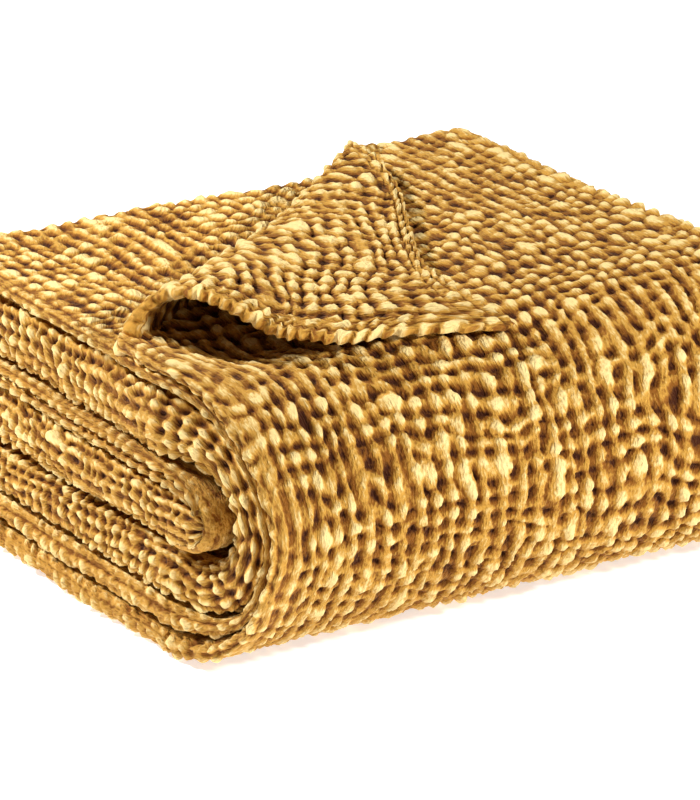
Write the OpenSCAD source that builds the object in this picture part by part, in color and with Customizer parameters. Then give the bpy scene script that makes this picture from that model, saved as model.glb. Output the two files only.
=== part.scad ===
// Folded honeycomb-weave throw.
// A sheet of cloth is folded in four across its length and then in three
// across its width, and the back left corner of the top layer is turned over.
// The stack rests on the floor at z = 0, with the big rounded fold in front (-Y),
// the free side hems at the left end (-X) and the closed folds at the right (+X).

/* [Stack] */
// Length of the folded stack, left to right
stack_length = 460; // [420:5:520]
// Depth of the folded stack, front to back
stack_depth = 420; // [390:5:460]
// Height taken up by one layer of cloth and the air above it
layer_pitch = 17; // [14:0.5:18]
// Free height between one layer and the next
layer_gap = 0.6; // [0.4:0.1:1.5]

/* [Hems] */
// Width of the plain woven hem along each side edge
side_hem_width = 28; // [15:1:35]
// Width of the ridged hem along each end edge
end_hem_width = 24; // [15:1:30]

/* [Turned corner] */
// Where the crease leaves the left edge, from the stack's centre
crease_start_y = -83; // [-90:1:-60]
// Where the crease leaves the back edge, from the stack's centre
crease_end_x = 140; // [120:1:160]
// Left-right place of the turned corner's tip
tip_x = -4; // [-20:1:20]
// Front-back place of the turned corner's tip
tip_y = -176; // [-180:1:-150]
// Thickness of the turned cloth, which lies flatter than the stack
flap_thickness = 12; // [8:1:14]
// Radius of the rolled crease at its left end
roll_start_radius = 22; // [16:1:24]
// Radius of the rolled crease at its back end
roll_end_radius = 18; // [12:1:20]

/* [Tucked end] */
// Clear space between the tucked end and the front fold around it
tuck_clearance = 4; // [3:0.5:8]

/* [Hidden] */

$fn = 96;
layers = 4;                       // layers of cloth in each pack
packs = 3;                        // packs on top of each other
body_gap = 0.3;                   // space between pieces that move apart
cloth_color = [0.80, 0.60, 0.30];
fold_color = [0.74, 0.53, 0.24];
hem_color = [0.86, 0.68, 0.38];

cloth = layer_pitch - layer_gap;                        // thickness of one layer
stack_height = packs * layers * layer_pitch - layer_gap;
middle_top = 2 * layers * layer_pitch - layer_gap;      // top face of the middle pack
left_x = -stack_length / 2;
right_x = stack_length / 2;
fold_x = right_x - 2 * layer_pitch;                     // where the right end folds begin
turn_x = left_x + layer_pitch;                          // where the left end fold begins
back_y = stack_depth / 2;
front_radius = stack_height / 2;
back_radius = middle_top / 2;
front_axis_y = -stack_depth / 2 + front_radius;
back_axis_y = back_y - back_radius;
top_start_y = front_axis_y + body_gap;
top_hem_y = back_y - end_hem_width;
middle_hem_y = front_axis_y + end_hem_width;
tuck_radius = 2 * layer_pitch - layer_gap / 2 - tuck_clearance;
cut_depth = 2 * stack_depth;                            // larger than anything it cuts

// Turned corner, seen from above
crease_start = [left_x, crease_start_y];
crease_end = [crease_end_x, back_y];
tip = [tip_x, tip_y];
crease_run = crease_end - crease_start;
crease_length = norm(crease_run);
crease_angle = atan2(crease_run.y, crease_run.x);
flap_bottom = stack_height + 2 * body_gap;
flap_setback = 1;                                       // the flap starts just in front of the crease
roll_margin_start = 38;
roll_margin_end = 56;

// --- Outlines across the pack: x is the distance from the fold axis or the
// --- floor, y is the place along the stack's length.

// One flat layer; layer 0 is the outermost
module layer_outline(layer, outer) {
    from = layer < 2 ? left_x + side_hem_width : turn_x;
    translate([outer - layer * layer_pitch - cloth, from])
        square([cloth, fold_x - from]);
}

// The plain hem at the left edge of layer 0 or 1
module side_hem_outline(layer, outer) {
    translate([outer - layer * layer_pitch - cloth, left_x])
        square([cloth, side_hem_width]);
}

// Half a ring that joins two layers at an end; side is -1 left, 1 right
module end_turn_outline(depth, at, side, radius, inner) {
    translate([depth, at])
        intersection() {
            difference() {
                circle(r = radius);
                circle(r = inner);
            }
            translate([-radius, side > 0 ? 0 : -radius])
                square([2 * radius, radius]);
        }
}

// The closed fold at the left end joins layers 2 and 3
module left_fold_outline(outer) {
    end_turn_outline(outer - 3 * layer_pitch + layer_gap / 2, turn_x, -1,
                     layer_pitch - layer_gap / 2, layer_gap / 2);
}

// The right end: one fold joins layers 1 and 2, and one around it joins 0 and 3
module right_folds_outline(outer) {
    depth = outer - 2 * layer_pitch + layer_gap / 2;
    end_turn_outline(depth, fold_x, 1, layer_pitch - layer_gap / 2, layer_gap / 2);
    end_turn_outline(depth, fold_x, 1, 2 * layer_pitch - layer_gap / 2,
                     layer_pitch + layer_gap / 2);
}

module side_hems_outline(outer) {
    side_hem_outline(0, outer);
    side_hem_outline(1, outer);
}

// --- The five stretches of the pack. Each carries an outline along its path.

module along_y(from, to) {
    translate([0, from, 0])
        rotate([-90, -90, 0])
            linear_extrude(height = to - from)
                children();
}

// Half a turn about an axis along X; start is the angle where it begins
module around_x(axis_y, axis_z, start) {
    translate([0, axis_y, axis_z])
        rotate([90, 0, 90])
            rotate([0, 0, start])
                rotate_extrude(angle = 180)
                    children();
}

module front_turn() {
    around_x(front_axis_y, front_radius, 90) children();
}

module back_turn() {
    around_x(back_axis_y, back_radius, -90) children();
}

module bottom_run() {
    along_y(front_axis_y, back_axis_y)
        mirror([1, 0]) children();
}

// --- Turned corner

// Everything on the back left side of the crease
module behind_crease() {
    translate([crease_start.x, crease_start.y, -1])
        rotate([0, 0, crease_angle])
            translate([-cut_depth, 0, 0])
                cube([2 * cut_depth, cut_depth, stack_height + cut_depth]);
}

module keep_front_of_crease() {
    difference() {
        union() children();
        behind_crease();
    }
}

// Everything right of the line from a to b, and a band of this width on its left
module band(a, b, width) {
    run = b - a;
    translate(a)
        rotate(atan2(run.y, run.x))
            translate([-cut_depth, -cut_depth])
                square([2 * cut_depth, cut_depth + width]);
}

module flap_outline() {
    difference() {
        polygon([crease_start, tip, crease_end]);
        band(crease_end, crease_start, flap_setback);
    }
}

module raised_flap() {
    translate([0, 0, flap_bottom])
        linear_extrude(height = flap_thickness)
            children();
}

// --- Nodes: top pack

module outer_layer_top() {
    color(cloth_color)
        keep_front_of_crease()
            along_y(top_start_y, top_hem_y) layer_outline(0, stack_height);
}

module layer_top(layer) {
    color(cloth_color)
        along_y(top_start_y, top_hem_y) layer_outline(layer, stack_height);
}

module left_end_fold_top() {
    color(fold_color)
        along_y(top_start_y, back_y) left_fold_outline(stack_height);
}

module right_end_folds_top() {
    color(fold_color)
        along_y(top_start_y, back_y) right_folds_outline(stack_height);
}

module side_hems_top() {
    color(hem_color) {
        keep_front_of_crease()
            along_y(top_start_y, back_y) side_hem_outline(0, stack_height);
        along_y(top_start_y, back_y) side_hem_outline(1, stack_height);
    }
}

module end_hems_top() {
    color(hem_color) {
        keep_front_of_crease()
            along_y(top_hem_y, back_y) layer_outline(0, stack_height);
        for (layer = [1:layers - 1])
            along_y(top_hem_y, back_y) layer_outline(layer, stack_height);
    }
}

// --- Nodes: front fold, bottom pack and back fold

module layer_front_fold(layer) {
    color(cloth_color) front_turn() layer_outline(layer, front_radius);
}

module left_end_fold_front() {
    color(fold_color) front_turn() left_fold_outline(front_radius);
}

module right_end_folds_front() {
    color(fold_color) front_turn() right_folds_outline(front_radius);
}

module side_hems_front() {
    color(hem_color) front_turn() side_hems_outline(front_radius);
}

module layer_bottom(layer) {
    color(cloth_color) bottom_run() layer_outline(layer, 0);
}

module left_end_fold_bottom() {
    color(fold_color) bottom_run() left_fold_outline(0);
}

module right_end_folds_bottom() {
    color(fold_color) bottom_run() right_folds_outline(0);
}

module side_hems_bottom() {
    color(hem_color) bottom_run() side_hems_outline(0);
}

module layer_back_fold(layer) {
    color(cloth_color) back_turn() layer_outline(layer, back_radius);
}

module left_end_fold_back() {
    color(fold_color) back_turn() left_fold_outline(back_radius);
}

module right_end_folds_back() {
    color(fold_color) back_turn() right_folds_outline(back_radius);
}

module side_hems_back() {
    color(hem_color) back_turn() side_hems_outline(back_radius);
}

// --- Nodes: middle pack and its tucked end

module layer_middle(layer) {
    color(cloth_color)
        along_y(middle_hem_y, back_axis_y) layer_outline(layer, middle_top);
}

module left_end_fold_middle() {
    color(fold_color)
        along_y(front_axis_y, back_axis_y) left_fold_outline(middle_top);
}

module right_end_folds_middle() {
    color(fold_color)
        along_y(front_axis_y, back_axis_y) right_folds_outline(middle_top);
}

module side_hems_middle() {
    color(hem_color)
        along_y(front_axis_y, back_axis_y) side_hems_outline(middle_top);
}

module end_hems_middle() {
    color(hem_color)
        for (layer = [0:layers - 1])
            along_y(front_axis_y, middle_hem_y) layer_outline(layer, middle_top);
}

module tuck_outline(from, to) {
    translate([0, from])
        square([tuck_radius, to - from]);
}

module tucked_end_roll() {
    color(cloth_color) front_turn() tuck_outline(left_x + side_hem_width, right_x - layer_pitch);
}

module tucked_end_hem() {
    color(hem_color) front_turn() tuck_outline(left_x, left_x + side_hem_width);
}

// --- Nodes: turned corner

module corner_side_hem() {
    color(hem_color)
        raised_flap()
            intersection() {
                flap_outline();
                band(crease_start, tip, side_hem_width);
            }
}

module corner_end_hem() {
    color(hem_color)
        raised_flap()
            difference() {
                intersection() {
                    flap_outline();
                    band(tip, crease_end, end_hem_width);
                }
                band(crease_start, tip, side_hem_width);
            }
}

module corner_flap() {
    color(cloth_color)
        raised_flap()
            difference() {
                flap_outline();
                band(crease_start, tip, side_hem_width);
                band(tip, crease_end, end_hem_width);
            }
}

// A long cone that lies on the second layer just behind the crease
module corner_crease_roll() {
    length = crease_length - roll_margin_start - roll_margin_end;
    lean = asin((roll_start_radius - roll_end_radius) / length);
    rest_z = stack_height - layer_pitch + 2 * body_gap;
    color(fold_color)
        translate([crease_start.x, crease_start.y, rest_z])
            rotate([0, 0, crease_angle])
                translate([roll_margin_start, roll_start_radius + 2 * body_gap, roll_start_radius])
                    rotate([0, 90 + lean, 0])
                        cylinder(h = length, r1 = roll_start_radius, r2 = roll_end_radius);
}

outer_layer_top();
layer_top(1);  // second_layer_top
layer_top(2);  // third_layer_top
layer_top(3);  // inner_layer_top
left_end_fold_top();
right_end_folds_top();
side_hems_top();
end_hems_top();
layer_front_fold(0);  // outer_layer_front_fold
layer_front_fold(1);  // second_layer_front_fold
layer_front_fold(2);  // third_layer_front_fold
layer_front_fold(3);  // inner_layer_front_fold
left_end_fold_front();
right_end_folds_front();
side_hems_front();
layer_bottom(0);  // outer_layer_bottom
layer_bottom(1);  // second_layer_bottom
layer_bottom(2);  // third_layer_bottom
layer_bottom(3);  // inner_layer_bottom
left_end_fold_bottom();
right_end_folds_bottom();
side_hems_bottom();
layer_back_fold(0);  // outer_layer_back_fold
layer_back_fold(1);  // second_layer_back_fold
layer_back_fold(2);  // third_layer_back_fold
layer_back_fold(3);  // inner_layer_back_fold
left_end_fold_back();
right_end_folds_back();
side_hems_back();
layer_middle(0);  // outer_layer_middle
layer_middle(1);  // second_layer_middle
layer_middle(2);  // third_layer_middle
layer_middle(3);  // inner_layer_middle
left_end_fold_middle();
right_end_folds_middle();
side_hems_middle();
end_hems_middle();
tucked_end_roll();
tucked_end_hem();
corner_flap();
corner_side_hem();
corner_end_hem();
corner_crease_roll();
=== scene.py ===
"""A folded honeycomb-weave throw with one corner of its top layer turned over.

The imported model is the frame. Every stretch of cloth is rebuilt here as a thick sheet whose
honeycomb relief is real geometry, worked out from the cloth's own coordinates: "across" runs
along the stack from its left end and on round the closed folds, "along" runs down the pack from
the back edge of the top, round the big front fold, under the stack, and back through the middle.
"""
import math

import bpy
import numpy as np
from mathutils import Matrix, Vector


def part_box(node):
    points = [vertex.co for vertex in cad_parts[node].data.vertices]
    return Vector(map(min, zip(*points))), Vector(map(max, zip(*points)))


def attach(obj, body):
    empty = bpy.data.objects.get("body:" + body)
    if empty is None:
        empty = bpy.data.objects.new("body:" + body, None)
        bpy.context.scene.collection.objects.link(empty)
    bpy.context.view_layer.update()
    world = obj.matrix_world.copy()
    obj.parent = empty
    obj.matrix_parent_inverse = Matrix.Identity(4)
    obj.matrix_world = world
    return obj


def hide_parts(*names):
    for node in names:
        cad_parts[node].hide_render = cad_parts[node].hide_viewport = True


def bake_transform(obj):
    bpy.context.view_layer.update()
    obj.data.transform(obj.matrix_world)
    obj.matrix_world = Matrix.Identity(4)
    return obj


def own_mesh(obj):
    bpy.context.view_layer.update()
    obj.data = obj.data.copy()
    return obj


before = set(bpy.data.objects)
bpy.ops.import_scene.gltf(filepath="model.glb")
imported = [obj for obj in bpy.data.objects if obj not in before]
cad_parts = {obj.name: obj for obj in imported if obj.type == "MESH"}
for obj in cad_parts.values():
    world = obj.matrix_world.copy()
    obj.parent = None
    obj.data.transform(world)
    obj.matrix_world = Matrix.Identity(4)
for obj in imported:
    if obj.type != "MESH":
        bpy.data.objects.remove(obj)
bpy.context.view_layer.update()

# ---------------------------------------------------------------- sizes, from the frame
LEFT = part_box("side_hems_top")[0][0]
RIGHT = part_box("right_end_folds_top")[1][0]
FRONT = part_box("outer_layer_front_fold")[0][1]
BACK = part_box("end_hems_top")[1][1]
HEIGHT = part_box("outer_layer_top")[1][2]
MIDDLE_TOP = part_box("outer_layer_middle")[1][2]
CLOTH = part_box("outer_layer_bottom")[1][2]
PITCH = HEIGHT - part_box("second_layer_top")[1][2]
GAP = PITCH - CLOTH
SIDE_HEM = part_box("outer_layer_bottom")[0][0] - LEFT
END_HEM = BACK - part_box("end_hems_top")[0][1]
TURN_X = LEFT + PITCH                        # where the left end fold begins
FOLD_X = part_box("right_end_folds_top")[0][0]  # where the right end folds begin
FRONT_RADIUS = HEIGHT / 2
BACK_RADIUS = MIDDLE_TOP / 2
FRONT_AXIS = FRONT + FRONT_RADIUS
BACK_AXIS = BACK - BACK_RADIUS
SEAM_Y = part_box("outer_layer_top")[0][1]
TUCK_RADIUS = (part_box("tucked_end_roll")[1][2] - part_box("tucked_end_roll")[0][2]) / 2

# ---------------------------------------------------------------- honeycomb
ROPE_PITCH = 0.0132     # from one rope of the weave to the next
CELL_PITCH = 0.0150     # from one pit to the next along a rope
RELIEF = 0.0064         # depth of a pit below the ropes
TOP_RELIEF = 0.0047     # the top is pressed flatter
PAINTED_LIGHT_SPREAD = 1.22      # and its painted shade in the pits and painted highlight on the beads spread further about TONE_MIDDLE, as its pits are shallow
TONE_MIDDLE = 0.80
FOLD_WEAVE = 1.35       # the cloth is gathered at the left end's folds: its weave is this much closer
FOLD_RELIEF = 0.0048
HEM_ROW = 0.0120        # across a hem, from one row of beads to the next
HEM_BEAD = 0.0128       # along a hem, from one bead to the next
FINE = 0.0012
COARSE = 4              # the hidden face of a sheet has one square where the shown one has 4 x 4
PLUMP_BELOW = 0.4       # share of the front fold over which the top's flatter relief ends


def smooth(t):
    """From 0 at t = 0 to 1 at t = 1, level at both."""
    t = np.clip(t, 0.0, 1.0)
    return t * t * (3.0 - 2.0 * t)


def scatter(i, j, seed):
    """An even random number from 0 to 1 for each pair of whole numbers."""
    n = np.sin(i * 127.1 + j * 311.7 + seed * 74.7) * 43758.5453
    return n - np.floor(n)


def noise(u, v, seed):
    """Smooth noise from -1 to 1, one bump per unit."""
    i, j = np.floor(u), np.floor(v)
    a, b = smooth(u - i), smooth(v - j)
    low = scatter(i, j, seed) * (1 - a) + scatter(i + 1, j, seed) * a
    high = scatter(i, j + 1, seed) * (1 - a) + scatter(i + 1, j + 1, seed) * a
    return 2.0 * (low * (1 - b) + high * b) - 1.0


def honeycomb(across, along):
    """Height of the weave: 0 in a pit, about 1 on the beads of a rope, more where a float puffs up.

    Ropes run along the cloth with a bead at each crossing, and lower bridges join them there.
    """
    u = across / ROPE_PITCH + 0.42 * noise(across / 0.055, along / 0.065, 1)
    u = u + 0.24 * noise(across / 0.017, along / 0.019, 2)
    v = along / CELL_PITCH + 0.75 * noise(across / 0.050, along / 0.060, 3)
    v = v + 0.34 * noise(across / 0.016, along / 0.018, 4)
    stagger = smooth(0.45 + 1.5 * noise(across / 0.070, along / 0.080, 5))
    gap = np.floor(u)
    rope = np.floor(u + 0.5)
    away = 1.0 - np.abs(u - gap - 0.5) * 2.0        # 0 on a rope, 1 midway between two

    def crossing(g):
        """Place along gap g in cells, and how near to one of its bridges."""
        t = v + 0.5 * stagger * np.mod(g, 2.0) + 0.30 * (scatter(g, 0 * g, 14) - 0.5)
        return t, np.abs(np.sin(math.pi * t)) ** 1.15

    t_left, near_left = crossing(rope - 1)
    t_right, near_right = crossing(rope)
    plump = near_left * (scatter(rope, np.floor(t_left), 16) - 0.5)
    plump = plump + near_right * (scatter(rope, np.floor(t_right), 17) - 0.5)
    bead = 0.5 * (near_left + near_right)
    wide = 0.46 + 0.34 * bead + 0.14 * plump
    dome = np.sqrt(np.clip(1.0 - (away / wide) ** 2, 0.0, 1.0))
    ropes = (0.48 + 0.52 * bead + 0.36 * plump) * dome
    t, near = crossing(gap)
    bridges = (0.30 + 0.50 * scatter(gap, np.floor(t), 15)) * near ** 1.3
    height = (ropes ** 4 + bridges ** 4) ** 0.25
    # here and there a float puffs up into a smooth bubble, longer along the rope
    puffs = np.zeros_like(height)
    ci, cj = np.floor(u + 0.5), np.floor(v)
    for di in (-1, 0, 1):
        for dj in (-1, 0, 1):
            i, j = ci + di, cj + dj
            strength = smooth((scatter(i, j, 8) - 0.76) / 0.22)
            du = (u - i - 0.5 * (scatter(i, j, 9) - 0.5)) / 0.60
            dv = (v - j - 0.5 - 0.5 * (scatter(i, j, 10) - 0.5)) / 0.66
            puffs = np.maximum(puffs, strength * np.sqrt(np.clip(1 - du * du - dv * dv, 0, 1)))
    height = (height ** 4 + (1.02 * puffs) ** 4) ** 0.25
    # strands along the ropes, bending round their beads, and loose threads across the pits
    strands = 0.26 * (0.40 - np.abs(noise(u * 4.1 + 1.4 * bead, v * 3.1 + 0.9 * bead, 7)))
    loose = 0.30 * (0.40 - np.abs(noise(u * 2.1 + 0.3, v * 4.7, 18)))
    cover = np.clip(height, 0.0, 1.0)
    return height + strands * cover + loose * (1.1 - cover) + 0.07 * noise(u * 6.1, v * 6.7, 19)


def hem_weave(across, along):
    """Height of a hem: close rows of plump beads, each leaning a little like a twist of rope."""
    row = across / HEM_ROW + 0.12 * noise(across / 0.02, along / 0.03, 11)
    i = np.floor(row)
    lean = row - i - 0.5
    t = along / HEM_BEAD + 0.5 * lean + 0.37 * scatter(i, 0 * i, 31)
    t = t + 0.7 * noise(i, along / 0.04, 12)
    t = t + 0.16 * noise(across / 0.006, along / 0.009, 33)
    bead = np.sin(math.pi * t) ** 2
    plump = 0.70 * bead * (scatter(i, np.floor(t), 32) - 0.5)
    dome = np.sqrt(np.clip(1.0 - (2.0 * lean) ** 2, 0.0, 1.0))
    strands = 0.30 * (0.40 - np.abs(noise(across / 0.0032 + 0.9 * bead, along / 0.0060, 13)))
    return 0.18 + dome * (0.36 + 0.50 * bead + plump) + strands


# ---------------------------------------------------------------- where cloth lies in the stack
# Depths of the layers' faces below the pack's outer face: as the frame has them, and at the
# left end, where the hems press flat and the folds swell.
DEPTHS = np.array([0.0, PITCH, 2 * PITCH, 4 * PITCH])
LEFT_DEPTHS = {
    "top": np.array([0.0, 0.0120, 0.0205, 0.0700]),
    "nose": np.array([0.0, 0.0090, 0.0160, 0.0560]),
    "bottom": np.array([0.0, 0.0190, 0.0400, 0.0755]),
    "back": np.array([0.0, 0.0130, 0.0300, 0.0640]),
    "middle": np.array([0.0030, 0.0105, 0.0185, 0.0600]),
}
LEFT_REACH = 0.10       # how far in from the left end the layers are uneven
NOSE_INSET = 0.018      # the front fold's left end stands back from the stack's


def left_weight(x, reach=LEFT_REACH):
    """1 at the left end, fading to 0 at reach from it."""
    return 1.0 - smooth((x - LEFT) / reach)


def settle_depth(x, depth, knots):
    """Moves a depth from the frame's even layers towards the uneven ones of the left end."""
    out = np.zeros(np.broadcast(x, depth, knots[0]).shape)
    for k in range(3):
        share = np.clip((depth - DEPTHS[k]) / (DEPTHS[k + 1] - DEPTHS[k]), 0.0, 1.0)
        out = out + share * (knots[k + 1] - knots[k])
    out = out + knots[0] + np.minimum(depth, 0.0) + np.maximum(depth - DEPTHS[3], 0.0)
    w = left_weight(x)
    return depth * (1 - w) + out * w


def mix_knots(a, b, share):
    """The left end's depths part of the way from one of its places to another."""
    return [LEFT_DEPTHS[a][k] * (1 - share) + LEFT_DEPTHS[b][k] * share for k in range(4)]


TUCK_REACH = 0.048      # how far the tucked end stands out in front of the middle pack
TUCK_FILL = 0.041       # how far the ends of the other layers reach into it
TUCK_CLOSING = 0.92     # how far those ends close up at its front
TUCK_TOP, TUCK_BOTTOM = 0.1310, 0.0740
BOTTOM_LENGTH = BACK_AXIS - FRONT_AXIS


def pack_point(section, x, t, depth):
    """A point of the pack: t runs along the section, 0 at its start and 1 at its end."""
    if section == "top":
        y = BACK - t * (BACK - SEAM_Y)
        z = HEIGHT - settle_depth(x, depth, LEFT_DEPTHS["top"])
    elif section == "front":
        turn = t * math.pi
        r = FRONT_RADIUS - settle_depth(x, depth, bend_knots("top", "nose", "bottom", t))
        y = FRONT_AXIS - r * np.sin(turn)
        z = FRONT_RADIUS + r * np.cos(turn)
    elif section == "bottom":
        y = FRONT_AXIS + t * BOTTOM_LENGTH
        z = settle_depth(x, depth, LEFT_DEPTHS["bottom"])
    elif section == "back":
        turn = t * math.pi
        r = BACK_RADIUS - settle_depth(x, depth, bend_knots("bottom", "back", "middle", t))
        y = BACK_AXIS + r * np.sin(turn)
        z = BACK_RADIUS - r * np.cos(turn)
    else:
        y = BACK_AXIS - t * BOTTOM_LENGTH
        z = MIDDLE_TOP - settle_depth(x, depth, LEFT_DEPTHS["middle"])
        # past the front axis the layers' ends close up inside the tucked end
        forward = np.clip((FRONT_AXIS - y) / TUCK_FILL, 0.0, 1.0)
        centre = (TUCK_TOP + TUCK_BOTTOM) / 2
        z = centre + (z - centre) * (1 - TUCK_CLOSING * (1 - np.sqrt(1 - forward**2)))
    x = x + NOSE_INSET * left_weight(x) * (np.sin(t * math.pi) if section == "front" else 0 * t)
    return np.stack(np.broadcast_arrays(x, y, z), axis=-1)


def bend_knots(a, b, c, t):
    """The left end's depths round a fold: a at its start, b half way and c at its end."""
    first, second = smooth(t * 2), smooth(t * 2 - 1)
    pairs = zip(mix_knots(a, b, first), mix_knots(b, c, second))
    return [near * (1 - second) + far * second for near, far in pairs]


def section_length(section, depth):
    """Length of a section's cloth, at this depth in the pack."""
    if section == "top":
        return BACK - SEAM_Y
    if section == "front":
        return math.pi * (FRONT_RADIUS - depth)
    if section == "back":
        return math.pi * (BACK_RADIUS - depth)
    return BOTTOM_LENGTH


SECTIONS = ("top", "front", "bottom", "back", "middle")


def section_start(section, depth):
    """How far along the cloth a section begins, at this depth in the pack."""
    before = SECTIONS[: SECTIONS.index(section)]
    return sum(section_length(s, depth) for s in before)


DIP_X, DIP_Y, DIP_DEPTH = -0.160, -0.095, 0.018     # the top is pressed in below the turned corner
DIP_REACH_LEFT, DIP_REACH_RIGHT, DIP_REACH_Y = 0.045, 0.085, 0.050
SWELL = 0.010           # the stack's front stands forward this much at the left
SWELL_Z, SWELL_HALF = 0.085, 0.055


def sink(points, pressed=1.0):
    """The soft stack as a whole: it swells forward low down at the left, and its top is uneven.

    pressed is how much of the dip below the turned corner a point takes part in.
    """
    x, y, z = points[..., 0], points[..., 1], points[..., 2]
    up = smooth(z / HEIGHT)
    near_left = left_weight(x, 0.20)
    forward = smooth((-0.06 - y) / 0.10) * np.exp(-(((z - SWELL_Z) / SWELL_HALF) ** 2))
    y = y - SWELL * near_left * forward
    z = z + 0.0030 * up * noise(x / 0.13 + 3.1, y / 0.15 + 1.7, 21)
    z = z + 0.0012 * up * noise(x / 0.05 + 0.4, y / 0.06 + 2.9, 22)
    y = y + 0.0020 * noise(x / 0.11, z / 0.07, 23) * smooth(np.abs(y) / 0.15)
    ends = smooth(np.abs(x) / 0.20)
    x = x + 0.0030 * ends * noise(y / 0.09, z / 0.035, 24)
    reach = np.where(x < DIP_X, DIP_REACH_LEFT, DIP_REACH_RIGHT)
    dip = np.exp(-(((x - DIP_X) / reach) ** 2) - ((y - DIP_Y) / DIP_REACH_Y) ** 2)
    z = z - DIP_DEPTH * dip * smooth((z - 0.10) / 0.09) * pressed
    z = np.maximum(z, 0.0)
    return np.stack([x, y, z], axis=-1)


# ---------------------------------------------------------------- meshes
def steps(length, spacing):
    """How many squares to cut a length into: a whole number of coarse ones."""
    return max(1, int(round(length / spacing / COARSE))) * COARSE


def add_mesh(name, points, polygons, sharp, height, place):
    """Makes a mesh object from arrays.

    polygons is a list of index arrays, each of one polygon size. height and place are each
    point's height in the weave and its place on the cloth, which the material reads.
    """
    mesh = bpy.data.meshes.new(name)
    sizes = np.concatenate([np.full(len(p), p.shape[1]) for p in polygons])
    loops = np.concatenate([p.ravel() for p in polygons]).astype(np.int32)
    mesh.vertices.add(len(points))
    mesh.vertices.foreach_set("co", points.astype(np.float32).ravel())
    mesh.loops.add(len(loops))
    mesh.loops.foreach_set("vertex_index", loops)
    mesh.polygons.add(len(sizes))
    starts = np.concatenate([[0], np.cumsum(sizes)[:-1]]).astype(np.int32)
    mesh.polygons.foreach_set("loop_start", starts)
    mesh.update(calc_edges=True)
    mesh.polygons.foreach_set("use_smooth", np.ones(len(sizes), bool))
    ends = np.zeros(len(mesh.edges) * 2, np.int32)
    mesh.edges.foreach_get("vertices", ends)
    ends = ends.reshape(-1, 2)
    mesh.edges.foreach_set("use_edge_sharp", sharp[ends[:, 0]] & sharp[ends[:, 1]])
    mesh.attributes.new("weave_height", "FLOAT", "POINT")
    mesh.attributes["weave_height"].data.foreach_set("value", height.astype(np.float32))
    mesh.attributes.new("cloth_place", "FLOAT_VECTOR", "POINT")
    mesh.attributes["cloth_place"].data.foreach_set("vector", place.astype(np.float32).ravel())
    mesh.validate()
    obj = bpy.data.objects.new(name, mesh)
    bpy.context.scene.collection.objects.link(obj)
    return obj


def slab(name, upper, lower, height, across, along, butt):
    """A closed sheet. upper is a fine grid of points, lower a coarser one for the other face.

    butt says which ends are cut square, where another piece carries on: first and last row,
    first and last column.
    """
    rows, cols = upper.shape[:2]
    lrows, lcols = lower.shape[:2]
    kr, kc = (rows - 1) // (lrows - 1), (cols - 1) // (lcols - 1)
    ui = np.arange(rows * cols).reshape(rows, cols)
    li = rows * cols + np.arange(lrows * lcols).reshape(lrows, lcols)
    up = np.stack([ui[:-1, :-1], ui[1:, :-1], ui[1:, 1:], ui[:-1, 1:]], -1).reshape(-1, 4)
    low = np.stack([li[:-1, :-1], li[:-1, 1:], li[1:, 1:], li[1:, :-1]], -1).reshape(-1, 4)

    def wall(fine, coarse, step, flip):
        """The faces between an edge of the fine grid and the same edge of the coarse one."""
        count = len(coarse) - 1
        polygon = [fine[np.arange(count) * step + m] for m in range(step + 1)]
        polygon += [coarse[1:], coarse[:-1]]
        polygon = np.stack(polygon, -1)
        return polygon[:, ::-1] if flip else polygon

    walls = [
        wall(ui[0], li[0], kc, False),
        wall(ui[-1], li[-1], kc, True),
        wall(ui[:, 0], li[:, 0], kr, True),
        wall(ui[:, -1], li[:, -1], kr, False),
    ]
    points = np.concatenate([upper.reshape(-1, 3), lower.reshape(-1, 3)])
    sharp = np.zeros(len(points), bool)
    for cut, line in zip(butt, (ui[0], ui[-1], ui[:, 0], ui[:, -1])):
        if cut:
            sharp[line] = True
    place = np.stack(np.broadcast_arrays(across, along, 0.0), -1)
    heights = np.concatenate([height.ravel(), height[::kr, ::kc].ravel()])
    places = np.concatenate([place.reshape(-1, 3), place[::kr, ::kc].reshape(-1, 3)])
    return add_mesh(name, points, [up, low, *walls], sharp, heights, places)


def rounded_end(u, half):
    """Draws places near a rounded end at u = 0 closer to it, and gives how far the face drops."""
    reach = 1.2 * half
    u = np.where(u < reach, u * (0.35 + 0.65 * u / reach), u)
    e = np.clip(u / reach, 0, 1)
    return u, 0.92 * half * (1 - np.sqrt(1 - (1 - e) ** 2))


def sheet_line(start, end, spacing, round_start, round_end, half):
    """Places along a line across a sheet, and how far the face drops there, with rounded ends."""
    u = np.linspace(0.0, end - start, steps(end - start, spacing) + 1)
    drop = np.zeros_like(u)
    if round_start:
        u, fall = rounded_end(u, half)
        drop = np.maximum(drop, fall)
    if round_end:
        v, fall = rounded_end((end - start) - u, half)
        u = (end - start) - v
        drop = np.maximum(drop, fall)
    return start + u, drop


def grid_area(points):
    """Area of a grid of points."""
    across, down = points[:-1, 1:] - points[:-1, :-1], points[1:, :-1] - points[:-1, :-1]
    return float(np.linalg.norm(np.cross(across, down), axis=-1).sum())


# How far across the cloth each stretch of a pack begins, from the outer layer's left edge on
RIGHT_TURN_ACROSS = FOLD_X - LEFT
INNER_ACROSS = RIGHT_TURN_ACROSS + math.pi * 2 * PITCH
LEFT_TURN_ACROSS = INNER_ACROSS + FOLD_X - TURN_X
THIRD_ACROSS = LEFT_TURN_ACROSS + math.pi * PITCH
SMALL_TURN_ACROSS = THIRD_ACROSS + FOLD_X - TURN_X
SECOND_ACROSS = SMALL_TURN_ACROSS + math.pi * PITCH


def layer_across(layer, x):
    """How far across the cloth a point of a layer is."""
    if layer == 0:
        return x - LEFT
    if layer == 1:
        return SECOND_ACROSS + (FOLD_X - x)
    if layer == 2:
        return THIRD_ACROSS + (x - TURN_X)
    return INNER_ACROSS + (FOLD_X - x)


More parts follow.
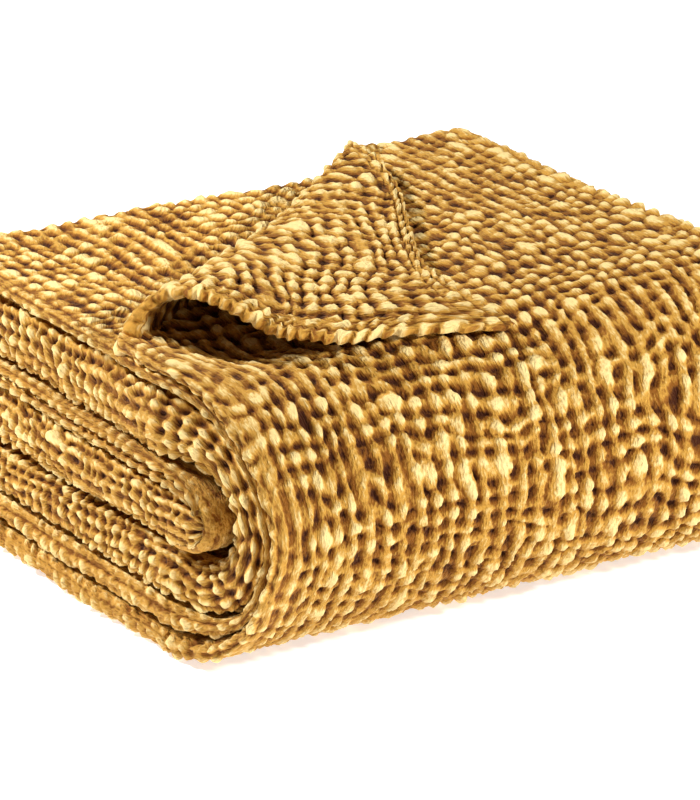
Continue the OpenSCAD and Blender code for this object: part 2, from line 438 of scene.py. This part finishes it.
RIM_START = math.radians(-80)   # how far under a free edge its bead goes round
HEM_SHARE = 0.7                 # how far a side hem's outer row takes the hem's weave
FRONT_HEM_SHARE = 0.35          # and on the outer layer's front fold


def layer_piece(name, section, layer, x_range, t_range=(0.0, 1.0), spacing=FINE, round_left=False,
                round_start=False, round_end=False, creased_from=None, coarse=COARSE):
    """A flat or bent stretch of one layer.

    With creased_from it begins at the turned corner's crease, or at that t where the crease is
    further back. coarse is how many squares of the shown face meet one of the other face.
    """
    depth = layer * PITCH
    half = CLOTH / 2
    length = section_length(section, depth)
    first_along, last_along = t_range[0] * length, t_range[1] * length
    ts, t_drop = sheet_line(first_along, last_along, spacing, round_start, round_end, half)
    keep = 1 - t_drop[:, None] / half            # how much of the thickness is left at a rounded end
    # The shown face's line across: round the free left edge, from below, and on along the top
    rim = steps(math.pi * half, spacing) if round_left else 0
    angle = np.linspace(RIM_START, math.pi / 2, rim + 1)[:rim]
    start = x_range[0] + (half if round_left else 0.0)
    flat = np.linspace(start, x_range[1], steps(x_range[1] - start, spacing) + 1)
    xs = np.concatenate([start - half * np.cos(angle), flat])
    below = np.concatenate([half - half * np.sin(angle), np.zeros_like(flat)])
    out_x = np.concatenate([-np.cos(angle), np.zeros_like(flat)])
    out_up = np.concatenate([np.sin(angle), np.ones_like(flat)])
    arc = np.concatenate([(angle - math.pi / 2) * half, flat - start])

    x, t = np.meshgrid(xs, ts / length)
    if creased_from is not None:
        first = crease_t(x, creased_from)
        t = first + (t - t_range[0]) * (t_range[1] - first) / (t_range[1] - t_range[0])
    along = section_start(section, depth) + t * length
    across = layer_across(layer, start) + arc * (1 if layer in (0, 2) else -1)
    across = np.broadcast_to(across, x.shape)
    height = honeycomb(across, along)
    # 1 on the pressed top, fading to 0 on the front fold
    shallow = {"top": 1.0, "front": 1 - smooth(t / PLUMP_BELOW)}.get(section, 0.0)
    shallow = np.broadcast_to(shallow, t.shape)
    relief = TOP_RELIEF * shallow + RELIEF * (1 - shallow)
    if round_left:
        share = 1 - smooth((arc - 0.6 * HEM_ROW) / (0.4 * HEM_ROW))
        share = share * (FRONT_HEM_SHARE if layer == 0 and section == "front" else HEM_SHARE)
        height = height * (1 - share) + hem_weave(arc + 0.5 * HEM_ROW, along) * share
    sunk = (1 - height) * relief * keep
    sink_depth = half + (below - half) * keep + sunk * out_up
    upper = pack_point(section, x - sunk * out_x, t, depth + sink_depth)
    k = slice(None, None, coarse)
    low_x = np.linspace(xs[0], xs[-1], (len(xs) - 1) // coarse + 1)
    low_x = np.broadcast_to(low_x, x[k, k].shape)
    bump = 0.5 * relief[k, k] * (1 - height[k, k])
    lower = pack_point(section, low_x, t[k, k], depth + half + (half - bump) * keep[k])
    butt = (not round_start, not round_end, not round_left, True)
    # painted shade and highlight: on the top the height the material reads is spread about
    # TONE_MIDDLE, for darker pits and paler beads
    height = height + shallow * (PAINTED_LIGHT_SPREAD - 1) * (height - TONE_MIDDLE)
    obj = slab(name, sink(upper), sink(lower), height, across, along, butt)
    runs = (t[-1] - t[0]) * length
    width = x_range[1] - x_range[0]
    return obj, (width, runs.max()), width * runs.mean()


def turn_piece(name, section, side, centre, radius, inner, across0, t_range=(0.0, 1.0), spacing=FINE,
               round_start=False, round_end=False, flatness=0.75, relief=RELIEF):
    """A closed fold at an end of the pack: half a ring carried along the section.

    side is 1 at the right end and -1 at the left, centre is the depth of the ring's centre, and
    radius and inner are the radii of its outer and inner face.
    """
    half = CLOTH / 2
    length = section_length(section, centre)
    arc = math.pi * radius
    first_along, last_along = t_range[0] * length, t_range[1] * length
    ts, t_drop = sheet_line(first_along, last_along, spacing, round_start, round_end, half)
    phi = np.linspace(0.0, math.pi, steps(arc, spacing) + 1)
    phi, t = np.meshgrid(phi, ts / length)
    along = section_start(section, centre) + t * length
    across = across0 + phi * radius
    closer = FOLD_WEAVE if side < 0 else 1.0
    height = honeycomb(across * closer, along * closer)
    edge_x = FOLD_X if side > 0 else TURN_X

    def ring(r, phi, t):
        """Points of one of the fold's faces, phi from its outer layer round to its inner one."""
        sideways = np.abs(np.sin(phi)) ** flatness
        x = edge_x + side * r * sideways
        return pack_point(section, x, t, centre - r * np.cos(phi))

    kept = np.sqrt(np.clip(1 - t_drop[:, None] / half, 0, 1))
    upper = sink(ring(radius - t_drop[:, None] - (1 - height) * relief * kept, phi, t))
    k = slice(None, None, COARSE)
    lower = sink(ring(inner + t_drop[k, None], phi[k, k], t[k, k]))
    if side < 0:
        upper, lower, height = upper[:, ::-1], lower[:, ::-1], height[:, ::-1]
        across, along = across[:, ::-1], along[:, ::-1]
    butt = (not round_start, not round_end, True, True)
    obj = slab(name, upper, lower, height, across, along, butt)
    area = 0.75 * grid_area(ring(radius, phi, t)) + 0.25 * grid_area(ring(inner, phi, t))
    run = length * (t_range[1] - t_range[0])
    return obj, (area / run, run), area


# ---------------------------------------------------------------- turned corner
CREASE_START = np.array([LEFT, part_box("corner_side_hem")[1][1]])
CREASE_END = np.array([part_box("corner_end_hem")[1][0], BACK])
CREASE_RUN = CREASE_END - CREASE_START
CREASE_LENGTH = float(np.hypot(*CREASE_RUN))
CREASE_ALONG = CREASE_RUN / CREASE_LENGTH
CREASE_AWAY = np.array([CREASE_ALONG[1], -CREASE_ALONG[0]])   # level, towards the front right
SEAT = HEIGHT - CLOTH / 2                                      # middle of the outer layer
# The side hem and the end hem of the turned corner, from the crease to the tip. Each point is
# its distance along the crease and away from it, and its height above the top of the stack.
SIDE_HEM_ROUTE = [
    (0.003, 0.003, -0.020), (0.007, 0.004, -0.005), (0.012, 0.008, 0.007), (0.018, 0.015, 0.0165),
    (0.022, 0.027, 0.0225), (0.018, 0.046, 0.0265), (0.017, 0.068, 0.0225), (0.021, 0.092, 0.0095),
    (0.028, 0.111, -0.0035), (0.041, 0.137, -0.0090), (0.068, 0.160, -0.0100), (0.095, 0.187, -0.0125),
    (0.130, 0.223, -0.0150),
]
END_HEM_ROUTE = [
    (0.462, 0.006, SEAT - HEIGHT), (0.455, 0.003, -0.004), (0.440, -0.001, 0.002),
    (0.418, 0.002, 0.0085), (0.397, 0.012, 0.0120), (0.377, 0.032, 0.0100), (0.336, 0.062, 0.0060),
    (0.287, 0.086, 0.0045), (0.236, 0.110, 0.0045), (0.182, 0.138, 0.004), (0.144, 0.167, 0.002),
    (0.132, 0.197, -0.004), (0.130, 0.223, -0.0150),
]
CREASE_BOW = 0.010      # the crease bends forward between its ends
CREST_SAG = 0.0075      # the crest sags between them
TIP_SHARE = 0.980       # the tip is blunt, one lobe of hem wide
FLAP_HALF = 0.0050      # half the thickness of the turned cloth
FLAP_RELIEF = 0.0050
FLAP_REST = 0.0070      # its middle lies at least this far above the stack
FLAP_SOFT = 0.0015      # how gently it comes to lie on it
HEM_LOBE = 0.0045       # how far the beads of its hems stand out sideways
EDGE_ROW = 0.3 * HEM_ROW    # the hems' first row of beads is cut this far in from its edge
COMB_ACROSS, COMB_ALONG = 0.011, 0.007      # where its weave begins, so that it isn't the top's
FLAP_PAINTED_LIGHT = 0.04        # painted light: the flap is painted a little paler than the rest, as it is the best-lit part
CREASE_Q = BACK - CREASE_START[1]     # cloth between the crease and the corner, along each hem
CREASE_P = CREASE_END[0] - LEFT


def crease_t(x, least):
    """Where the outer layer begins behind x, as a share of the top section."""
    f = np.clip((x - LEFT) / CREASE_RUN[0], 0, 1)
    y = CREASE_START[1] + CREASE_RUN[1] * f - CREASE_BOW * np.sin(math.pi * f) / CREASE_ALONG[0]
    return np.maximum(least, (BACK - y) / (BACK - SEAM_Y))


def curve_through(route):
    """A smooth curve through the route's points."""
    pts = np.array(route, float)
    ends = np.concatenate([[2 * pts[0] - pts[1]], pts, [2 * pts[-1] - pts[-2]]])
    t = np.linspace(0, 1, 40, endpoint=False)[:, None]
    spans = []
    for a, b, c, d in zip(ends, ends[1:], ends[2:], ends[3:]):
        cubic = (2 * a - 5 * b + 4 * c - d) * t**2 + (3 * b - a - 3 * c + d) * t**3
        spans.append(0.5 * (2 * b + (c - a) * t + cubic))
    return np.concatenate(spans + [pts[-1:]])


def resample(curve, run, at):
    """Points of a curve at these lengths along it."""
    return np.stack([np.interp(at, run, curve[:, k]) for k in range(3)], -1)


def edge_drop(distance, half):
    """How far a face drops near a rounded free edge."""
    e = np.clip(distance / (0.9 * half), 0, 1)
    return 0.80 * half * (1 - np.sqrt(1 - (1 - e) ** 2))


def corner_middle(side, end, f, share, length):
    """The middle surface of the turned corner: rows from one hem to the other."""
    # the hems' beads stand out along both free edges
    lobe = HEM_LOBE * (np.sin(math.pi * share * length / HEM_BEAD) ** 2 - 0.5)
    lobe = lobe / np.maximum(np.linalg.norm(side - end, axis=1)[:, None], 0.02)
    spread = f + lobe * (f ** 8 - (1 - f) ** 8)
    route = side[:, None, :] * (1 - spread[..., None]) + end[:, None, :] * spread[..., None]
    e, n, rise = route[..., 0], route[..., 1], route[..., 2]
    n = n + CREASE_BOW * np.sin(math.pi * f) * (1 - share)
    rise = rise - CREST_SAG * np.sin(math.pi * f) * smooth(rise / 0.02)
    middle = np.stack([
        CREASE_START[0] + e * CREASE_ALONG[0] + n * CREASE_AWAY[0],
        CREASE_START[1] + e * CREASE_ALONG[1] + n * CREASE_AWAY[1],
        HEIGHT + rise,
    ], -1)
    # past the crest it lies on the stack, never in it
    bent = np.clip(FRONT_AXIS - middle[..., 1], 0, 0.95 * FRONT_RADIUS)
    seat = FRONT_RADIUS + np.sqrt(FRONT_RADIUS**2 - bent**2) + FLAP_REST
    above = (middle[..., 2] - seat) / FLAP_SOFT
    lifted = seat + FLAP_SOFT * np.logaddexp(0.0, above)
    resting = smooth((share - 0.30) / 0.08)
    middle[..., 2] = middle[..., 2] * (1 - resting) + lifted * resting
    return middle


def corner_piece(name, spacing=FINE):
    """The rolled crease and the flap, in rows from the crease to the tip."""
    side, end = curve_through(SIDE_HEM_ROUTE), curve_through(END_HEM_ROUTE)
    side_legs = np.linalg.norm(np.diff(side, axis=0), axis=1)
    end_legs = np.linalg.norm(np.diff(end, axis=0), axis=1)
    run = np.concatenate([[0], np.cumsum((side_legs + end_legs) / 2)])
    share = np.linspace(0, TIP_SHARE, steps(run[-1], spacing) + 1)
    side, end = resample(side, run, share * run[-1]), resample(end, run, share * run[-1])
    cols = steps(CREASE_LENGTH, spacing)
    f = np.linspace(0, 1, cols + 1)
    f = f - 0.45 / cols * np.sin(2 * math.pi * f)
    f, share = np.meshgrid(f, share)
    middle = corner_middle(side, end, f, share, run[-1])
    normal = np.cross(np.gradient(middle, axis=1), np.gradient(middle, axis=0))
    normal /= np.maximum(np.linalg.norm(normal, axis=-1, keepdims=True), 1e-12)
    across = CREASE_P * (1 - share) * f
    along = CREASE_Q * (1 - share) * (1 - f)
    row_length = np.linalg.norm(side - end, axis=1)[:, None]
    to_side, to_end = row_length * f, row_length * (1 - f)
    to_tip = (TIP_SHARE - share) * run[-1]
    half = FLAP_HALF + (CLOTH / 2 - FLAP_HALF) * (1 - smooth(share / 0.10))
    drop = np.maximum.reduce([edge_drop(d, half) for d in (to_side, to_end, to_tip)])
    side_share = smooth((to_side - 0.5 * SIDE_HEM) / (0.5 * SIDE_HEM))
    end_share = smooth((to_end - 0.6 * END_HEM) / (0.6 * END_HEM))
    comb = honeycomb(across + COMB_ACROSS, along + COMB_ALONG)
    side_rope = hem_weave(to_side + EDGE_ROW, along)
    end_rope = hem_weave(to_end + EDGE_ROW, across)
    height = comb * side_share + side_rope * (1 - side_share)
    height = height * end_share + end_rope * (1 - end_share)
    keep = 1 - drop / half
    shown = middle - normal * (half - drop - (1 - height) * FLAP_RELIEF * keep)[..., None]
    k = slice(None, None, 2)
    under = 0.4 * FLAP_RELIEF * (1 - comb) * keep
    hidden = (middle + normal * (half - drop - under)[..., None])[k, k]
    pressed = 1 - smooth(share / 0.10)
    shown, hidden = sink(shown, pressed), sink(hidden, pressed[k, k])
    # painted shade and highlight spread as on the top, and painted light making the whole flap a
    # little paler
    height = height + (PAINTED_LIGHT_SPREAD - 1) * (height - TONE_MIDDLE) + FLAP_PAINTED_LIGHT
    obj = slab(name, shown, hidden, height, across, along, (True, False, False, False))
    area = grid_area(middle)
    grown = math.sqrt(area / (CREASE_P * CREASE_Q / 2))    # the roll takes up cloth as well
    return obj, (CREASE_P * grown, CREASE_Q * grown), area


# ---------------------------------------------------------------- tucked end
TUCK_RIGHT = RIGHT - PITCH
TUCK_HALF = 0.0055      # half the thickness of its cloth


def tuck_piece(name, x_range, round_left, hem, spacing=FINE):
    """The outer layer's end turned down over the others inside the front fold."""
    xs, x_drop = sheet_line(x_range[0], x_range[1], spacing, round_left, False, TUCK_HALF)
    arc = 0.5 * math.pi * (TUCK_REACH + (TUCK_TOP - TUCK_BOTTOM) / 2)
    turn = np.linspace(0, math.pi, steps(arc, spacing) + 1)
    x, turn = np.meshgrid(xs, turn)
    along = section_start("middle", 0) + BOTTOM_LENGTH + turn / math.pi * arc
    across = x - LEFT
    height = honeycomb(across, along)
    if hem:
        # painted shade: the tucked hem's heights are pulled low, which deepens its relief and gives it
        # the ramp's dark tones, as it lies in the front fold's shadow
        height = 0.22 + 0.40 * height + 0.15 * hem_weave(across, along)
    w = left_weight(x)
    reach = TUCK_RADIUS * (1 - w) + TUCK_REACH * w
    top = (FRONT_RADIUS + TUCK_RADIUS) * (1 - w) + TUCK_TOP * w
    low = (FRONT_RADIUS - TUCK_RADIUS) * (1 - w) + TUCK_BOTTOM * w

    def shell(inset, x, turn, reach, top, low):
        """A face of the roll, this far in from its outer one."""
        out = np.sin(turn) ** 0.9 * (reach - inset)
        z = (top + low) / 2 + ((top - low) / 2 - inset) * np.cos(turn)
        y = FRONT_AXIS - out
        x = x + NOSE_INSET * 0.3 * left_weight(x)
        return np.stack([x, y, z], -1)

    upper = shell(x_drop[None, :] + (1 - height) * RELIEF * 0.6, x, turn, reach, top, low)
    k = slice(None, None, COARSE)
    inset = 2 * TUCK_HALF - x_drop[None, k]
    lower = shell(inset, x[k, k], turn[k, k], reach[k, k], top[k, k], low[k, k])
    butt = (True, True, not round_left, True)
    obj = slab(name, sink(upper), sink(lower), height, across, along, butt)
    width = x_range[1] - x_range[0]
    return obj, (width, arc), width * arc


# ---------------------------------------------------------------- materials
TONE_RANGE = 1.6        # weave height, threads and patches together, where the tones end


def srgb(r, g, b):
    """A colour given as it looks on a screen, 0 to 255, in Blender's linear numbers."""
    def linear(c):
        c = c / 255
        return c / 12.92 if c <= 0.04045 else ((c + 0.055) / 1.055) ** 2.4
    return (linear(r), linear(g), linear(b), 1.0)


def cloth_material(name, tones, thread_scale, bump):
    """Dyed cotton, with painted shade darkening the pits and a painted highlight paling the ropes, and
    fine threads along them.

    tones are the colours from the painted shade at the bottom of a pit, through the cloth's own ochre,
    to the painted highlight on top of a bead.
    """
    m = bpy.data.materials.new(name)
    m.use_nodes = True
    nodes, link = m.node_tree.nodes, m.node_tree.links.new
    shader = nodes["Principled BSDF"]
    shader.inputs["Roughness"].default_value = 0.78
    shader.inputs["Specular IOR Level"].default_value = 0.20
    shader.inputs["Sheen Weight"].default_value = 0.08
    shader.inputs["Sheen Roughness"].default_value = 0.45
    shader.inputs["Sheen Tint"].default_value = srgb(255, 226, 170)

    def node(kind, **values):
        n = nodes.new(kind)
        for key, value in values.items():
            setattr(n, key, value)
        return n

    height = node("ShaderNodeAttribute", attribute_name="weave_height")
    place = node("ShaderNodeAttribute", attribute_name="cloth_place")

    # the threads bend round every bead: their place is pushed along by the weave's height
    push = node("ShaderNodeVectorMath", operation="MULTIPLY_ADD")
    push.inputs[1].default_value = (0.0050, 0.0030, 0.0)
    link(height.outputs["Vector"], push.inputs[0])
    link(place.outputs["Vector"], push.inputs[2])

    def place_noise(scale_across, scale_along, detail):
        """Noise that follows the cloth, with these many bumps to the metre."""
        mapping = node("ShaderNodeMapping")
        mapping.inputs["Scale"].default_value = (scale_across, scale_along, 1.0)
        link(push.outputs["Vector"], mapping.inputs["Vector"])
        n = node("ShaderNodeTexNoise")
        n.inputs["Scale"].default_value = 1.0
        n.inputs["Detail"].default_value = detail
        link(mapping.outputs["Vector"], n.inputs["Vector"])
        return n

    threads = place_noise(*thread_scale, 3.0)
    patches = place_noise(55.0, 38.0, 2.0)
    patchy = node("ShaderNodeMath", operation="MULTIPLY_ADD")
    patchy.inputs[1].default_value = 0.22
    link(patches.outputs["Fac"], patchy.inputs[0])
    link(height.outputs["Fac"], patchy.inputs[2])
    threaded = node("ShaderNodeMath", operation="MULTIPLY_ADD")
    threaded.inputs[1].default_value = 0.80
    link(threads.outputs["Fac"], threaded.inputs[0])
    link(patchy.outputs[0], threaded.inputs[2])
    ramp = node("ShaderNodeValToRGB")
    ramp.color_ramp.interpolation = "EASE"
    elements = ramp.color_ramp.elements
    elements[0].position, elements[0].color = tones[0][0], srgb(*tones[0][1])
    elements[1].position, elements[1].color = tones[-1][0], srgb(*tones[-1][1])
    for position, colour in tones[1:-1]:
        elements.new(position).color = srgb(*colour)
    level = node("ShaderNodeMath", operation="MULTIPLY")
    level.inputs[1].default_value = 1 / TONE_RANGE
    link(threaded.outputs[0], level.inputs[0])
    link(level.outputs[0], ramp.inputs["Fac"])
    link(ramp.outputs["Color"], shader.inputs["Base Color"])
    relief = node("ShaderNodeBump")
    relief.inputs["Strength"].default_value = bump
    relief.inputs["Distance"].default_value = 0.0040
    link(threads.outputs["Fac"], relief.inputs["Height"])
    link(relief.outputs["Normal"], shader.inputs["Normal"])
    return m


# painted shade and highlight: each ramp runs from painted shade in the pits, through the cloth's own
# ochre, to a pale painted highlight on the beads
HONEYCOMB_CLOTH = cloth_material(
    "honeycomb_cloth",
    [(0.33, (66, 25, 1)), (0.55, (138, 83, 19)), (0.76, (206, 153, 62)), (1.00, (252, 222, 150))],
    (520.0, 240.0), 0.90)
HEM_CLOTH = cloth_material(
    "hem_cloth",
    [(0.32, (72, 29, 1)), (0.53, (140, 84, 20)), (0.74, (206, 153, 64)), (0.98, (252, 222, 150))],
    (540.0, 220.0), 0.85)


# ---------------------------------------------------------------- pieces
HEM_CUT = 1.6           # a hem's edge is turned in, so it is cut this much wider than it shows


def finish_piece(made, body, nodes, material, hem=False):
    """Gives a piece its material and body, and hides the CAD nodes it stands for; its flat size is
    worked out but not kept.
    """
    obj, size, area = made
    if hem:
        size, area = (size[0] * HEM_CUT, size[1]), area * HEM_CUT
    obj.data.materials.append(material)
    if body == "front":
        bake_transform(obj)
    else:
        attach(obj, body)
    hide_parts(*nodes)


# The front fold's pieces are given "front", which finish_piece leaves attached to no body, with their
# transforms baked in
BODY = {"top": "top_pack", "front": "front", "bottom": "root", "back": "root", "middle": "root"}
LAYER_NAMES = ("outer_layer", "second_layer", "third_layer", "inner_layer")
LAYER_SPACING = {
    "top": (FINE, 1.2 * FINE, 4 * FINE, 1.6 * FINE),
    "front": (FINE, 3 * FINE, 4 * FINE, 1.5 * FINE),
    "bottom": (2.5 * FINE, 4 * FINE, 4 * FINE, 4 * FINE),
    "back": (1.3 * FINE, 4 * FINE, 4 * FINE, 4 * FINE),
    "middle": (2 * FINE, 4 * FINE, 4 * FINE, 4 * FINE),
}
BARED = {("top", 3): 1, ("front", 3): 2}    # their other face shows when the top pack is opened
TOP_HEM_T = END_HEM / (BACK - SEAM_Y)
MIDDLE_HEM_T = 1 - END_HEM / BOTTOM_LENGTH
CREASE_SLOPE = CREASE_RUN[1] / CREASE_RUN[0]


for section in SECTIONS:
    body = BODY[section]
    t_range = {"top": (TOP_HEM_T, 1.0), "middle": (0.0, MIDDLE_HEM_T)}.get(section, (0.0, 1.0))
    for layer, layer_name in enumerate(LAYER_NAMES):
        bent = "_fold" if section in ("front", "back") else ""
        name = f"{layer_name}_{section}{bent}"
        x_start = LEFT + SIDE_HEM if layer < 2 else TURN_X
        made = layer_piece(
            f"cloth_{name}", section, layer, (x_start, FOLD_X), t_range,
            LAYER_SPACING[section][layer],
            creased_from=TOP_HEM_T if (section, layer) == ("top", 0) else None,
            coarse=BARED.get((section, layer), COARSE),
        )
        finish_piece(made, body, [name], HONEYCOMB_CLOTH)
    fold = f"left_end_fold_{section}"
    whole = (0.0, 1 + 0.93 * TUCK_FILL / BOTTOM_LENGTH if section == "middle" else 1.0)
    made = turn_piece(
        f"cloth_{fold}", section, -1, 3 * PITCH - GAP / 2, PITCH - GAP / 2, GAP / 2,
        LEFT_TURN_ACROSS, whole,
        round_start=section == "top",
        round_end=section == "middle",
        flatness=0.6,
        relief=FOLD_RELIEF,
    )
    finish_piece(made, body, [fold], HONEYCOMB_CLOTH)
    folds = f"right_end_folds_{section}"
    made = turn_piece(
        f"cloth_{folds}_outer", section, 1, 2 * PITCH - GAP / 2, 2 * PITCH - GAP / 2,
        PITCH + GAP / 2, RIGHT_TURN_ACROSS,
        spacing=1.3 * FINE,
        round_start=section == "top",
    )
    finish_piece(made, body, [folds], HONEYCOMB_CLOTH)
    made = turn_piece(
        f"cloth_{folds}_inner", section, 1, 2 * PITCH - GAP / 2, PITCH - GAP / 2,
        GAP / 2, SMALL_TURN_ACROSS,
        spacing=3 * FINE,
        round_start=section == "top",
    )
    finish_piece(made, body, [folds], HONEYCOMB_CLOTH)
    hems = f"side_hems_{section}"
    for layer in (0, 1):
        made = layer_piece(
            f"hem_{hems}_{layer + 1}", section, layer, (LEFT, LEFT + SIDE_HEM), whole,
            round_left=True,
            round_start=section == "top" and layer == 1,
            round_end=section == "middle",
            creased_from=0.0 if (section, layer) == ("top", 0) else None,
        )
        finish_piece(made, body, [hems], HEM_CLOTH, hem=True)

for layer in range(4):
    x_start = LEFT + SIDE_HEM if layer < 2 else TURN_X
    top_start = CREASE_END[0] - END_HEM / CREASE_SLOPE if layer == 0 else x_start
    made = layer_piece(
        f"hem_end_hems_top_{layer + 1}", "top", layer, (top_start, FOLD_X), (0.0, TOP_HEM_T),
        1.2 * FINE,
        round_start=True,
        creased_from=0.0 if layer == 0 else None,
        coarse=1 if layer == 3 else 2,
    )
    finish_piece(made, "top_pack", ["end_hems_top"], HEM_CLOTH, hem=True)
    made = layer_piece(f"hem_end_hems_middle_{layer + 1}", "middle", layer, (x_start, FOLD_X),
                       (MIDDLE_HEM_T, 1.0), 3 * FINE)
    finish_piece(made, "root", ["end_hems_middle"], HEM_CLOTH, hem=True)

made = tuck_piece("cloth_tucked_end_roll", (LEFT + SIDE_HEM, TUCK_RIGHT), False, False, 1.5 * FINE)
finish_piece(made, "root", ["tucked_end_roll"], HONEYCOMB_CLOTH)
made = tuck_piece("hem_tucked_end", (LEFT, LEFT + SIDE_HEM), True, True)
finish_piece(made, "root", ["tucked_end_hem"], HEM_CLOTH, hem=True)

corner, corner_size, corner_area = corner_piece("cloth_turned_corner")
corner.data.materials.append(HONEYCOMB_CLOTH)
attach(corner, "turned_corner")
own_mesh(corner)
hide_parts("corner_flap", "corner_side_hem", "corner_end_hem", "corner_crease_roll")

# ---------------------------------------------------------------- floor, light, camera
FLOOR = 4.0             # half its side
floor_mesh = bpy.data.meshes.new("floor")
floor_corners = [(-FLOOR, -FLOOR, 0), (FLOOR, -FLOOR, 0), (FLOOR, FLOOR, 0), (-FLOOR, FLOOR, 0)]
floor_mesh.from_pydata(floor_corners, [], [(0, 1, 2, 3)])
floor = bpy.data.objects.new("floor", floor_mesh)
floor.location.z = -0.0004
bpy.context.scene.collection.objects.link(floor)
pale = bpy.data.materials.new("pale_floor")
pale.use_nodes = True
floor_shader = pale.node_tree.nodes["Principled BSDF"]
floor_shader.inputs["Base Color"].default_value = (0.95, 0.95, 0.95, 1)
floor_shader.inputs["Roughness"].default_value = 0.9
floor_shader.inputs["Emission Color"].default_value = (1, 1, 1, 1)
floor_shader.inputs["Emission Strength"].default_value = 0.60
floor_mesh.materials.append(pale)

world = bpy.data.worlds.new("studio")
bpy.context.scene.world = world
world.use_nodes = True
world.node_tree.nodes["Background"].inputs["Color"].default_value = (1, 1, 1, 1)
world.node_tree.nodes["Background"].inputs["Strength"].default_value = 0.12


def lamp(name, place, size, power):
    """A square soft light aimed at the stack."""
    data = bpy.data.lights.new(name, "AREA")
    data.size = size
    data.energy = power
    obj = bpy.data.objects.new(name, data)
    obj.location = place
    aim = Vector((0, 0, HEIGHT / 2)) - Vector(place)
    obj.rotation_euler = aim.to_track_quat("-Z", "Y").to_euler()
    bpy.context.scene.collection.objects.link(obj)


lamp("key", (-1.0, 0.78, 1.32), 0.20, 37)
lamp("front_fill", (0.7, -1.75, 1.25), 0.26, 43)

VIEW_AZIMUTH = math.radians(-32.587)
VIEW_ELEVATION = math.radians(19.647)
VIEW_DISTANCE = 3.1289
LENS = 210.4
camera_data = bpy.data.cameras.new("camera")
camera_data.lens = LENS
camera_data.sensor_width = 36
camera_data.shift_x = -0.0256
camera_data.shift_y = -0.0106
camera_data.clip_end = 30
camera = bpy.data.objects.new("camera", camera_data)
back = Vector((
    math.sin(VIEW_AZIMUTH) * math.cos(VIEW_ELEVATION),
    -math.cos(VIEW_AZIMUTH) * math.cos(VIEW_ELEVATION),
    math.sin(VIEW_ELEVATION),
))
camera.location = Vector((0, 0, HEIGHT / 2)) + VIEW_DISTANCE * back
camera.rotation_euler = (-back).to_track_quat("-Z", "Y").to_euler()
bpy.context.scene.collection.objects.link(camera)
bpy.context.scene.camera = camera
bpy.context.scene.view_settings.view_transform = "Standard"
